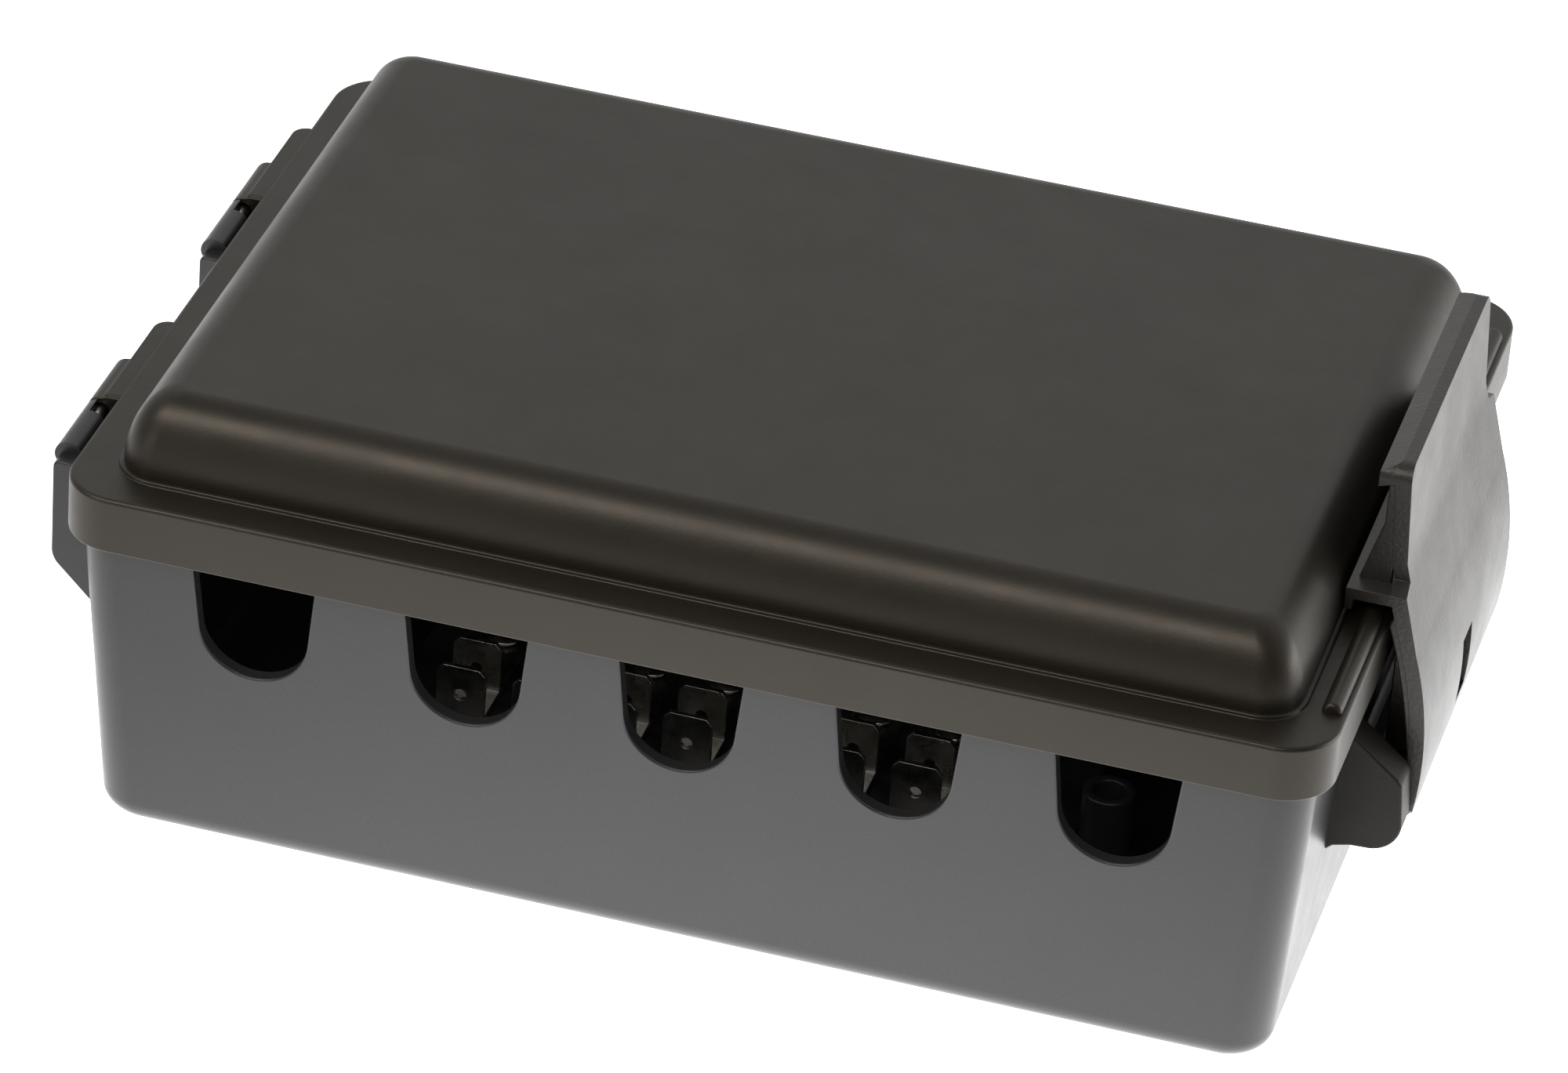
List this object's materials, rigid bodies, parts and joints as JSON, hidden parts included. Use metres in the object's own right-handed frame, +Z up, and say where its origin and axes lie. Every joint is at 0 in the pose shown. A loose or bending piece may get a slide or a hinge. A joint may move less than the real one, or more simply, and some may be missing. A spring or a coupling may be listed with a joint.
{
  "type": "trailer cable junction box",
  "caption": "Moulded plastic junction box for trailer wiring, with a domed hinged lid, a snap latch, cable slots in one long wall and blade terminals inside.",
  "frame": {"origin": "middle of the tub's flat underside", "axes": "+X towards the latch end, hinges at -X; -Y the long wall with the cable slots; +Z up, out of the tub's open mouth"},
  "size_m": [0.1687, 0.1122, 0.07],
  "materials": {
    "moulded_plastic": "satin, with a fine moulded grain",
    "latch_plastic": "fine matt texture",
    "board_plastic": "matt",
    "plated_brass": "tin-plated, slightly dull",
    "zinc_steel": "bright zinc"
  },
  "bodies": {
    "base": {"base_tub": "moulded_plastic", "terminal_board": "board_plastic", "bus_strip_1": "plated_brass", "bus_strip_2": "plated_brass", "bus_strip_3": "plated_brass", "bus_strip_4": "plated_brass", "bus_strip_5": "plated_brass", "bus_strip_6": "plated_brass", "bus_strip_7": "plated_brass", "bus_strip_8": "plated_brass", "rivet_front_1": "plated_brass", "rivet_front_2": "plated_brass", "rivet_front_3": "plated_brass", "rivet_front_4": "plated_brass", "rivet_front_5": "plated_brass", "rivet_front_6": "plated_brass", "rivet_front_7": "plated_brass", "rivet_front_8": "plated_brass", "rivet_rear_1": "plated_brass", "rivet_rear_2": "plated_brass", "rivet_rear_3": "plated_brass", "rivet_rear_4": "plated_brass", "rivet_rear_5": "plated_brass", "rivet_rear_6": "plated_brass", "rivet_rear_7": "plated_brass", "rivet_rear_8": "plated_brass", "board_screw_left": "zinc_steel", "board_screw_right": "zinc_steel", "front_hinge_pin": "zinc_steel", "rear_hinge_pin": "zinc_steel"},
    "lid": {"lid": "moulded_plastic"},
    "latch": {"latch": "latch_plastic"}
  },
  "joints": [
    {"name": "lid_hinge", "type": "hinge", "parent": "base", "child": "lid", "pos_m": [-0.0813, 0, 0.0473], "axis": [0, -1, 0], "range_deg": [0, 110]},
    {"name": "latch_pivot", "type": "hinge", "parent": "base", "child": "latch", "pos_m": [0.0811, 0, 0.0255], "axis": [0, 1, 0], "range_deg": [0, 90]}
  ]
}
